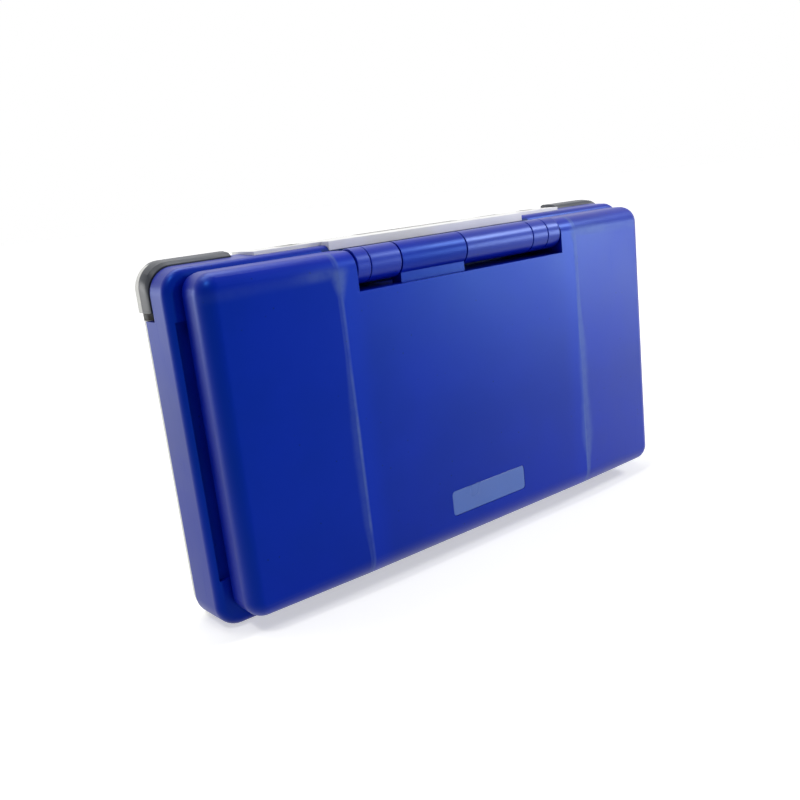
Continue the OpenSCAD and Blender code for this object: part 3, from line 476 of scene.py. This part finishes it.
def lay_finishes(settings):
    """Makes every finish of the console, by name."""
    f = FINISHES
    f["housing"] = blue_plastic("shell_blue_trough_shade", settings, trough_shade=True)
    f["lid"] = blue_plastic("lid_blue_worn_sheen", settings, worn=True)
    f["barrel"] = blue_plastic("barrel_blue", settings, coat=0.30)
    f["plate"] = moulded("lid_plate_blue", settings.plate, rough=0.3, grain=1800.0, coat=0.3,
                         depth=0.1)
    f["pale"] = moulded("pale_plastic", settings.pale, rough=0.42, grain=1100.0)
    f["smoke"] = smoked("shoulder_smoke", settings)
    f["silver"] = moulded("inner_silver", (0.48, 0.50, 0.54), rough=0.38, grain=1600.0,
                          metallic=0.25)
    f["button"] = moulded("button_grey", (0.42, 0.44, 0.48), rough=0.36, grain=1700.0)
    f["black"] = moulded("black_plastic", (0.022, 0.023, 0.026), rough=0.4, grain=1300.0)
    f["rubber"] = moulded("dark_rubber", (0.05, 0.05, 0.055), rough=0.72, grain=900.0,
                          specular=0.3)
    f["foot"] = moulded("foot_rubber", (0.58, 0.59, 0.61), rough=0.7, grain=800.0,
                        specular=0.3)
    f["battery"] = moulded("battery_wrap", (0.055, 0.06, 0.07), rough=0.5, grain=700.0)
    f["steel"] = metal("bright_steel", (0.60, 0.61, 0.63), rough=0.3)
    f["screen"] = screen("screen_glass", (0.012, 0.013, 0.016))
    f["board"] = printed_board("solder_mask")
    f["lamp"] = moulded("lamp_lens", (0.42, 0.66, 0.45), rough=0.2, grain=600.0, coat=0.4,
                        depth=0.05)


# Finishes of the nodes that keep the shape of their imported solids
CARRIED = {
    "black": ["speaker_left", "speaker_right", "microphone", "headphone_jack",
              "power_connector", "upper_lcd", "lower_lcd", "volume_slider", "stylus",
              "ribbon_bush"],
    "rubber": ["pad_mat", "button_mat", "menu_mat", "power_mat"],
    "steel": ["friction_hinge", "strap_pin", "shoulder_pins", "card_cage", "cart_cage",
              "wireless_module"],
    "screen": ["upper_window", "touch_panel"],
    "battery": ["battery"],
    "board": ["main_board"],
    "lamp": ["lamp_windows"],
}


def coat_node(node, finish):
    """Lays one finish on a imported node."""
    mesh = NODES[node].data
    mesh.materials.clear()
    mesh.materials.append(FINISHES[finish])


# ---------------------------------------------------------------- mesh helpers


def settled(obj):
    """The evaluated mesh of obj as a new plain object of the same name."""
    graph = bpy.context.evaluated_depsgraph_get()
    mesh = bpy.data.meshes.new_from_object(obj.evaluated_get(graph))
    name = obj.name
    old = obj.data
    bpy.data.objects.remove(obj)
    bpy.data.meshes.remove(old)
    made = bpy.data.objects.new(name, mesh)
    bpy.context.scene.collection.objects.link(made)
    return made


def softened(name, node, body, finish, radius, crease=None):
    """A copy of a CAD node with its points joined, its edges rounded and its faces smoothed.

    crease, where given, says which of the softer edges stay sharp.
    """
    mesh = NODES[node].data.copy()
    mesh.materials.clear()
    mesh.materials.append(FINISHES[finish])
    for layer in [a.name for a in mesh.attributes if a.name in OLD_SHADING]:
        mesh.attributes.remove(mesh.attributes[layer])
    bm = bmesh.new()
    bm.from_mesh(mesh)
    bmesh.ops.remove_doubles(bm, verts=bm.verts, dist=SAME_POINT)
    bmesh.ops.dissolve_degenerate(bm, edges=bm.edges, dist=THIN_FACE)
    bmesh.ops.dissolve_limit(bm, angle_limit=FLAT_TURN, verts=bm.verts, edges=bm.edges)
    weight = bm.edges.layers.float.new("bevel_weight_edge")
    for face in bm.faces:
        face.smooth = True
    for edge in bm.edges:
        if len(edge.link_faces) != 2:
            edge.smooth = False
            continue
        turn = edge.calc_face_angle(0.0)
        if turn > EDGE_TURN:
            edge.smooth = False
            edge[weight] = 1.0
        elif crease and turn > CREASE_TURN and crease(edge):
            edge.smooth = False
    bm.to_mesh(mesh)
    bm.free()
    obj = bpy.data.objects.new(name, mesh)
    bpy.context.scene.collection.objects.link(obj)
    bevel = obj.modifiers.new("edges", "BEVEL")
    bevel.limit_method = "WEIGHT"
    bevel.width = radius
    bevel.segments = 3
    bevel.harden_normals = True
    bevel.use_clamp_overlap = True
    weighted = obj.modifiers.new("faces", "WEIGHTED_NORMAL")
    weighted.keep_sharp = True
    weighted.weight = 60
    made = settled(obj)
    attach(made, body)
    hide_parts(node)
    return made


def on_crease(edge):
    """True for the lid's two long creases."""
    return all(abs(abs(v.co.x) - CREASE_X) < CREASE_SLACK and v.co.y < LID_FACE_Y
               for v in edge.verts)


def solid_tops(node):
    """The middle of the +Y end of each separate solid of a node."""
    bm = bmesh.new()
    bm.from_mesh(NODES[node].data)
    bmesh.ops.remove_doubles(bm, verts=bm.verts, dist=SAME_POINT)
    left, tops = set(bm.verts), []
    while left:
        island, ahead = set(), [left.pop()]
        while ahead:
            vert = ahead.pop()
            island.add(vert)
            for link in vert.link_edges:
                other = link.other_vert(vert)
                if other in left:
                    left.remove(other)
                    ahead.append(other)
        xs, ys, zs = zip(*(tuple(v.co) for v in island))
        tops.append(((min(xs) + max(xs)) / 2, max(ys), (min(zs) + max(zs)) / 2))
    bm.free()
    return sorted(tops)


def marks(name, points):
    """A mesh of loose points for a node tree to put pieces on."""
    mesh = bpy.data.meshes.new(name)
    mesh.from_pydata([tuple(p) for p in points], [], [])
    obj = bpy.data.objects.new(name, mesh)
    bpy.context.scene.collection.objects.link(obj)
    return obj


class Tree:
    """A geometry node tree with named inputs."""

    def __init__(self, name, inputs):
        self.tree = bpy.data.node_groups.new(name, "GeometryNodeTree")
        face = self.tree.interface
        face.new_socket("Geometry", in_out="INPUT", socket_type="NodeSocketGeometry")
        face.new_socket("Geometry", in_out="OUTPUT", socket_type="NodeSocketGeometry")
        self.ids = {}
        for label, kind, default in inputs:
            socket = face.new_socket(label, in_out="INPUT", socket_type=kind)
            if default is not None:
                socket.default_value = default
            self.ids[label] = socket.identifier
        self.input = self.tree.nodes.new("NodeGroupInput")
        self.output = self.tree.nodes.new("NodeGroupOutput")

    def add(self, kind, settings=None, **links):
        node = self.tree.nodes.new(kind)
        for key, value in (settings or {}).items():
            setattr(node, key, value)
        for key, value in links.items():
            self.feed(node, key.replace("_", " "), value)
        return node

    def feed(self, node, key, value):
        socket = node.inputs[int(key)] if key.isdigit() else node.inputs[key]
        if isinstance(value, bpy.types.NodeSocket):
            self.tree.links.new(value, socket)
        elif isinstance(value, bpy.types.Node):
            self.tree.links.new(value.outputs[0], socket)
        else:
            socket.default_value = value

    def value(self, operation, a, b=None):
        node = self.tree.nodes.new("ShaderNodeMath")
        node.operation = operation
        self.feed(node, "0", a)
        if b is not None:
            self.feed(node, "1", b)
        return node.outputs[0]

    def want(self, label):
        return self.input.outputs[label]

    def moved(self, geometry, **place):
        """The geometry moved by some of X, Y and Z."""
        by = self.add("ShaderNodeCombineXYZ", None, **place)
        return self.add("GeometryNodeTransform", None, Geometry=geometry, Translation=by)

    def joined(self, kind, socket, parts, settings=None):
        """One node that takes all the parts in one socket."""
        node = self.add(kind, settings)
        for part in parts:
            self.tree.links.new(part.outputs[0], node.inputs[socket])
        return node

    def close(self, geometry):
        """Ends the tree: instances made real and given the material."""
        real = self.add("GeometryNodeRealizeInstances", None, Geometry=geometry)
        coated = self.add("GeometryNodeSetMaterial", None, Geometry=real,
                          Material=self.want("Material"))
        self.tree.links.new(coated.outputs[0], self.output.inputs[0])
        return self

    def grow(self, obj, finish, **values):
        """Runs the tree on obj and returns the plain mesh object that it makes."""
        modifier = obj.modifiers.new("grow", "NODES")
        modifier.node_group = self.tree
        modifier[self.ids["Material"]] = FINISHES[finish]
        for label, value in values.items():
            modifier[self.ids[label.replace("_", " ")]] = value
        made = settled(obj)
        made.data.materials.clear()
        made.data.materials.append(FINISHES[finish])
        return made


def placed(tree, shape):
    """Instances shape on the tree's points, with its +Z turned to +Y."""
    return tree.add("GeometryNodeInstanceOnPoints", None, Points=tree.want("Geometry"),
                    Instance=shape, Rotation=(math.radians(-90), 0.0, 0.0))


def screw_tree():
    """Cross-head screws that stand with the middle of their heads' tops on the points."""
    tree = Tree("cross_head_screws", [
        ("Head radius", "NodeSocketFloat", 0.0019), ("Head height", "NodeSocketFloat", 0.001),
        ("Shank radius", "NodeSocketFloat", 0.0009), ("Shank length", "NodeSocketFloat", 0.008),
        ("Slot length", "NodeSocketFloat", 0.0024), ("Slot width", "NodeSocketFloat", 0.0005),
        ("Slot depth", "NodeSocketFloat", 0.0004), ("Material", "NodeSocketMaterial", None)])
    w = tree.want
    rim_share, top_share = 0.3, 0.82
    rim = tree.value("MULTIPLY", w("Head height"), rim_share)
    head = tree.add("GeometryNodeMeshCylinder", None, Vertices=32, Radius=w("Head radius"),
                    Depth=tree.value("SUBTRACT", w("Head height"), rim))
    low = tree.value("MULTIPLY", tree.value("ADD", w("Head height"), rim), -0.5)
    head = tree.moved(head, Z=low)
    dome = tree.add("GeometryNodeMeshCone", None, Vertices=32, Radius_Bottom=w("Head radius"),
                    Radius_Top=tree.value("MULTIPLY", w("Head radius"), top_share), Depth=rim)
    dome = tree.moved(dome, Z=tree.value("MULTIPLY", rim, -1.0))
    shank = tree.add("GeometryNodeMeshCylinder", None, Vertices=20, Radius=w("Shank radius"),
                     Depth=w("Shank length"))
    half_shank = tree.value("MULTIPLY", w("Shank length"), -0.5)
    shank = tree.moved(shank, Z=tree.value("SUBTRACT", half_shank, w("Head height")))
    body = tree.joined("GeometryNodeMeshBoolean", "Mesh 2", (head, dome),
                       {"operation": "UNION"})
    arm = tree.add("ShaderNodeCombineXYZ", None, X=w("Slot length"), Y=w("Slot width"),
                   Z=tree.value("MULTIPLY", w("Slot depth"), 2.0))
    bar = tree.add("GeometryNodeMeshCube", None, Size=arm)
    across = tree.add("GeometryNodeTransform", None, Geometry=bar, Rotation=(0, 0, math.pi / 2))
    cut = tree.joined("GeometryNodeMeshBoolean", "Mesh 2", (bar, across),
                      {"operation": "DIFFERENCE"})
    tree.tree.links.new(body.outputs[0], cut.inputs["Mesh 1"])
    return tree.close(placed(tree, tree.joined("GeometryNodeJoinGeometry", 0, (cut, shank))))


def pad_tree():
    """Round pads with a bevelled rim that stand on the points."""
    tree = Tree("round_pads", [
        ("Radius", "NodeSocketFloat", 0.0032), ("Height", "NodeSocketFloat", 0.0005),
        ("Rim", "NodeSocketFloat", 0.0002), ("Material", "NodeSocketMaterial", None)])
    w = tree.want
    straight = tree.value("SUBTRACT", w("Height"), w("Rim"))
    disc = tree.add("GeometryNodeMeshCylinder", None, Vertices=40, Radius=w("Radius"),
                    Depth=straight)
    disc = tree.moved(disc, Z=tree.value("MULTIPLY", straight, 0.5))
    top = tree.add("GeometryNodeMeshCone", None, Vertices=40, Radius_Bottom=w("Radius"),
                   Radius_Top=tree.value("SUBTRACT", w("Radius"), w("Rim")), Depth=w("Rim"))
    top = tree.moved(top, Z=straight)
    whole = tree.joined("GeometryNodeMeshBoolean", "Mesh 2", (disc, top), {"operation": "UNION"})
    return tree.close(placed(tree, whole))


def row(tree, shape, count, start_x):
    """Copies of shape in a row along X, one pitch apart."""
    line = tree.add("GeometryNodeMeshLine", {"mode": "OFFSET"}, Count=count,
                    Start_Location=tree.add("ShaderNodeCombineXYZ", None, X=start_x),
                    Offset=tree.add("ShaderNodeCombineXYZ", None, X=tree.want("Pitch")))
    return tree.add("GeometryNodeInstanceOnPoints", None, Points=line, Instance=shape)


def gauze_tree():
    """Square woven gauze centred on each point."""
    tree = Tree("sound_gauze", [
        ("Size", "NodeSocketFloat", 0.0145), ("Pitch", "NodeSocketFloat", 0.0006),
        ("Wire", "NodeSocketFloat", 0.00012), ("Material", "NodeSocketMaterial", None)])
    w = tree.want
    wire = tree.add("ShaderNodeCombineXYZ", None, X=w("Wire"), Y=w("Size"), Z=w("Wire"))
    bar = tree.add("GeometryNodeMeshCube", None, Size=wire)
    bars = tree.value("DIVIDE", w("Size"), w("Pitch"))
    count = tree.add("FunctionNodeFloatToInt", None, Float=bars)
    rows = row(tree, bar, count, tree.value("MULTIPLY", w("Size"), -0.5))
    across = tree.add("GeometryNodeTransform", None, Geometry=rows, Rotation=(0, 0, math.pi / 2))
    return tree.close(placed(tree, tree.joined("GeometryNodeJoinGeometry", 0, (rows, across))))


def rib_tree():
    """A row of grip ribs centred on each point."""
    tree = Tree("grip_ribs", [
        ("Count", "NodeSocketInt", 5), ("Pitch", "NodeSocketFloat", 0.0009),
        ("Length", "NodeSocketFloat", 0.0018), ("Radius", "NodeSocketFloat", 0.00018),
        ("Material", "NodeSocketMaterial", None)])
    w = tree.want
    rib = tree.add("GeometryNodeMeshCylinder", None, Vertices=12, Radius=w("Radius"),
                   Depth=w("Length"))
    span = tree.value("MULTIPLY", tree.value("SUBTRACT", w("Count"), 1.0), w("Pitch"))
    return tree.close(placed(tree, row(tree, rib, w("Count"), tree.value("MULTIPLY", span, -0.5))))


def rounded_shading(obj):
    """Smooth faces with sharp edges, for pieces made by a node tree."""
    obj.data.shade_smooth()
    obj.data.set_sharp_from_angle(angle=math.radians(35))


# ---------------------------------------------------------------- operators


class CONSOLE_OT_finishes(bpy.types.Operator):
    """Makes the console's finishes and lays them on the pieces that keep their shape"""

    bl_idname = "console.finishes"
    bl_label = "Finishes"

    def execute(self, context):
        lay_finishes(context.scene.console_finish)
        for finish, nodes in CARRIED.items():
            for node in nodes:
                coat_node(node, finish)
        return {"FINISHED"}


class CONSOLE_OT_lid(bpy.types.Operator):
    """Makes the lid's worn cover with its painted sheen beside the creases, its plain inlaid plate
    and its inner cover
    """

    bl_idname = "console.lid"
    bl_label = "Lid"

    def execute(self, context):
        soft = context.scene.console_finish.edge_soft
        softened("lid_shell", "lid_cover", "lid", "lid", soft * 1.5, on_crease)
        softened("lid_plate", "lid_badge", "lid", "plate", soft * 0.6)
        softened("lid_lining", "lid_inner", "lid", "silver", soft * 0.5)
        return {"FINISHED"}


class CONSOLE_OT_housing(bpy.types.Operator):
    """Makes the blue upper housing and the pale lower housing with its covers"""

    bl_idname = "console.housing"
    bl_label = "Housing"

    def execute(self, context):
        soft = context.scene.console_finish.edge_soft
        softened("housing_shell", "upper_housing", "base", "housing", soft)
        softened("control_plate", "face_plate", "base", "silver", soft * 0.5)
        softened("lower_shell", "bottom_cover", "base", "pale", soft)
        softened("battery_hatch", "battery_cover", "base", "pale", soft * 0.5)
        softened("slot_cover", "dust_cover", "dust_cover", "pale", soft)
        return {"FINISHED"}


class CONSOLE_OT_hinge(bpy.types.Operator):
    """Makes the hinge barrels and their end caps"""

    bl_idname = "console.hinge"
    bl_label = "Hinge row"

    def execute(self, context):
        soft = context.scene.console_finish.edge_soft
        for name, node in (
                ("barrel_short", "hinge_barrel_left"), ("barrel_long", "hinge_barrel_right"),
                ("barrel_cap_left", "hinge_cap_left"), ("barrel_cap_right", "hinge_cap_right")):
            softened(name, node, "base", "barrel", soft)
        return {"FINISHED"}


class CONSOLE_OT_controls(bpy.types.Operator):
    """Makes the shoulder buttons, the direction pad and the face buttons"""

    bl_idname = "console.controls"
    bl_label = "Controls"

    def execute(self, context):
        soft = context.scene.console_finish.edge_soft
        for side in ("left", "right"):
            node = f"shoulder_{side}"
            softened(f"shoulder_cap_{side}", node, node, "smoke", soft)
        softened("direction_cross", "direction_pad", "direction_pad", "button",
                 soft)
        for key in ("a", "b", "x", "y", "start", "select", "power"):
            node = f"button_{key}"
            softened(f"key_{key}", node, node, "button", soft)
        return {"FINISHED"}


class CONSOLE_OT_fasteners(bpy.types.Operator):
    """Makes the screws of the housing, the lid and the battery cover"""

    bl_idname = "console.fasteners"
    bl_label = "Screws"

    def execute(self, context):
        tree = screw_tree()
        for name, node, body, height, length in (
                ("housing_screw_set", "housing_screws", "base", 0.001, 0.008),
                ("lid_screw_set", "lid_screws", "lid", 0.001, 0.0042),
                ("hatch_screw", "battery_screw", "base", 0.0006, 0.0034)):
            made = tree.grow(marks(name, solid_tops(node)), "steel",
                             Head_height=height, Shank_length=length)
            rounded_shading(made)
            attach(made, body)
            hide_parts(node)
        return {"FINISHED"}


class CONSOLE_OT_pads(bpy.types.Operator):
    """Makes the housing's foot pads and the lid's bumpers"""

    bl_idname = "console.pads"
    bl_label = "Pads"

    def execute(self, context):
        tree = pad_tree()
        for name, node, body, finish, slot, radius, height in (
                ("foot_pad_set", "foot_pads", "base", "foot", "foot_pad", 0.0032, 0.0005),
                ("bumper_set", "lid_bumpers", "lid", "rubber", "dark_rubber", 0.00255, 0.00045)):
            tops = [(x, y - height, z) for x, y, z in solid_tops(node)]
            made = tree.grow(marks(name, tops), finish, Radius=radius, Height=height)
            rounded_shading(made)
            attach(made, body)
            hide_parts(node)
        return {"FINISHED"}


class CONSOLE_OT_trim(bpy.types.Operator):
    """Makes the gauze behind the sound holes and the ribs of the volume slider"""

    bl_idname = "console.trim"
    bl_label = "Gauze and ribs"

    def execute(self, context):
        tree = gauze_tree()
        for side in ("left", "right"):
            low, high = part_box(f"speaker_{side}")
            middle = ((low.x + high.x) / 2, high.y + GAUZE_RISE, (low.z + high.z) / 2)
            made = tree.grow(marks(f"gauze_{side}", [middle]), "steel", Size=GAUZE_SIZE)
            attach(made, "lid")
        low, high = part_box("volume_slider")
        middle = ((low.x + high.x) / 2, (low.y + high.y) / 2, low.z)
        made = rib_tree().grow(marks("volume_ribs", [middle]), "black", Count=5, Pitch=0.0011,
                               Length=0.0020, Radius=0.00016)
        rounded_shading(made)
        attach(made, "volume_slider")
        return {"FINISHED"}


class CONSOLE_OT_stage(bpy.types.Operator):
    """Makes the camera, the pale floor and the soft studio light"""

    bl_idname = "console.stage"
    bl_label = "Stage"

    def execute(self, context):
        settings = context.scene.console_stage
        scene = context.scene
        scene.view_settings.view_transform = "Standard"
        self.camera(scene, settings)
        self.world(scene, settings)
        self.floor(settings)
        self.lamps()
        return {"FINISHED"}

    @staticmethod
    def camera(scene, settings):
        data = bpy.data.cameras.new("photo_camera")
        data.sensor_width = 36.0
        data.lens = settings.lens
        data.clip_start, data.clip_end = 0.01, 20.0
        camera = bpy.data.objects.new("photo_camera", data)
        scene.collection.objects.link(camera)
        ahead = Vector(settings.camera_aim).normalized()
        right = ahead.cross(Vector(settings.camera_up)).normalized()
        up = right.cross(ahead)
        turn = Matrix((right, up, -ahead)).transposed()
        camera.matrix_world = Matrix.Translation(settings.camera_place) @ turn.to_4x4()
        scene.camera = camera

    @staticmethod
    def seen(nodes, links):
        """1 for camera, mirrored and refracted rays, 0 for the rest."""
        path = nodes.new("ShaderNodeLightPath")
        total = path.outputs["Is Camera Ray"]
        for name in ("Is Glossy Ray", "Is Transmission Ray"):
            add = nodes.new("ShaderNodeMath")
            add.operation = "MAXIMUM"
            links.new(total, add.inputs[0])
            links.new(path.outputs[name], add.inputs[1])
            total = add.outputs[0]
        return total

    def world(self, scene, settings):
        world = bpy.data.worlds.new("white_studio")
        world.use_nodes = True
        scene.world = world
        nodes, links = world.node_tree.nodes, world.node_tree.links
        back = nodes["Background"]
        back.inputs["Color"].default_value = (1, 1, 1, 1)
        level = nodes.new("ShaderNodeMapRange")
        links.new(self.seen(nodes, links), level.inputs["Value"])
        level.inputs["To Min"].default_value = settings.sky
        level.inputs["To Max"].default_value = 1.0
        links.new(level.outputs["Result"], back.inputs["Strength"])

    def floor(self, settings):
        mesh = bpy.data.meshes.new("floor")
        bm = bmesh.new()
        bmesh.ops.create_grid(bm, x_segments=1, y_segments=1, size=FLOOR_HALF)
        bm.to_mesh(mesh)
        bm.free()
        floor = bpy.data.objects.new("floor", mesh)
        bpy.context.scene.collection.objects.link(floor)
        material = bpy.data.materials.new("pale_floor")
        material.use_nodes = True
        nodes, links = material.node_tree.nodes, material.node_tree.links
        shader = nodes["Principled BSDF"]
        shader.inputs["Base Color"].default_value = FLOOR_COLOUR
        shader.inputs["Roughness"].default_value = 0.8
        shader.inputs["Specular IOR Level"].default_value = 0.1
        shader.inputs["Emission Color"].default_value = (1, 1, 1, 1)
        # White everywhere but near the console, where the floor keeps its shadow
        away = nodes.new("ShaderNodeVectorMath")
        away.operation = "LENGTH"
        links.new(nodes.new("ShaderNodeTexCoord").outputs["Object"], away.inputs[0])
        level = nodes.new("ShaderNodeMapRange")
        level.interpolation_type = "SMOOTHSTEP"
        links.new(away.outputs["Value"], level.inputs["Value"])
        for key, value in (("From Min", SHADOW_REACH), ("From Max", WHITE_FROM),
                           ("To Min", settings.floor_lift), ("To Max", 1.0)):
            level.inputs[key].default_value = value
        lift = nodes.new("ShaderNodeMath")
        lift.operation = "MULTIPLY"
        links.new(self.seen(nodes, links), lift.inputs[0])
        links.new(level.outputs["Result"], lift.inputs[1])
        links.new(lift.outputs[0], shader.inputs["Emission Strength"])
        mesh.materials.append(material)

    @staticmethod
    def lamps():
        for name, place, aim, width, height, power in LAMPS:
            data = bpy.data.lights.new(name, "AREA")
            data.shape = "RECTANGLE"
            data.size, data.size_y, data.energy = width, height, power
            lamp = bpy.data.objects.new(name, data)
            bpy.context.scene.collection.objects.link(lamp)
            lamp.location = place
            lamp.rotation_mode = "QUATERNION"
            lamp.rotation_quaternion = (Vector(aim) - Vector(place)).to_track_quat("-Z", "Y")


class CONSOLE_PT_panel(bpy.types.Panel):
    """Lists the steps that dress the console"""

    bl_label = "Console"
    bl_idname = "CONSOLE_PT_panel"
    bl_space_type = "VIEW_3D"
    bl_region_type = "UI"
    bl_category = "Console"

    def draw(self, context):
        layout = self.layout
        for step in STEPS:
            layout.operator(step.bl_idname)
        finish = context.scene.console_finish
        for name in ("blue", "blue_roughness", "scuff", "plate", "pale", "smoke", "edge_soft"):
            layout.prop(finish, name)
        stage = context.scene.console_stage
        for name in ("camera_place", "camera_aim", "camera_up", "lens", "sky", "floor_lift"):
            layout.prop(stage, name)


STEPS = (CONSOLE_OT_finishes, CONSOLE_OT_lid, CONSOLE_OT_housing, CONSOLE_OT_hinge,
         CONSOLE_OT_controls, CONSOLE_OT_fasteners, CONSOLE_OT_pads, CONSOLE_OT_trim,
         CONSOLE_OT_stage)
CLASSES = (ShellFinish, StageSettings, *STEPS, CONSOLE_PT_panel)


def register():
    for cls in CLASSES:
        bpy.utils.register_class(cls)
    bpy.types.Scene.console_finish = bpy.props.PointerProperty(type=ShellFinish)
    bpy.types.Scene.console_stage = bpy.props.PointerProperty(type=StageSettings)


def unregister():
    del bpy.types.Scene.console_stage
    del bpy.types.Scene.console_finish
    for cls in reversed(CLASSES):
        bpy.utils.unregister_class(cls)


def main():
    register()
    for step in STEPS:
        family, name = step.bl_idname.split(".")
        getattr(getattr(bpy.ops, family), name)()


if __name__ == "__main__":
    main()
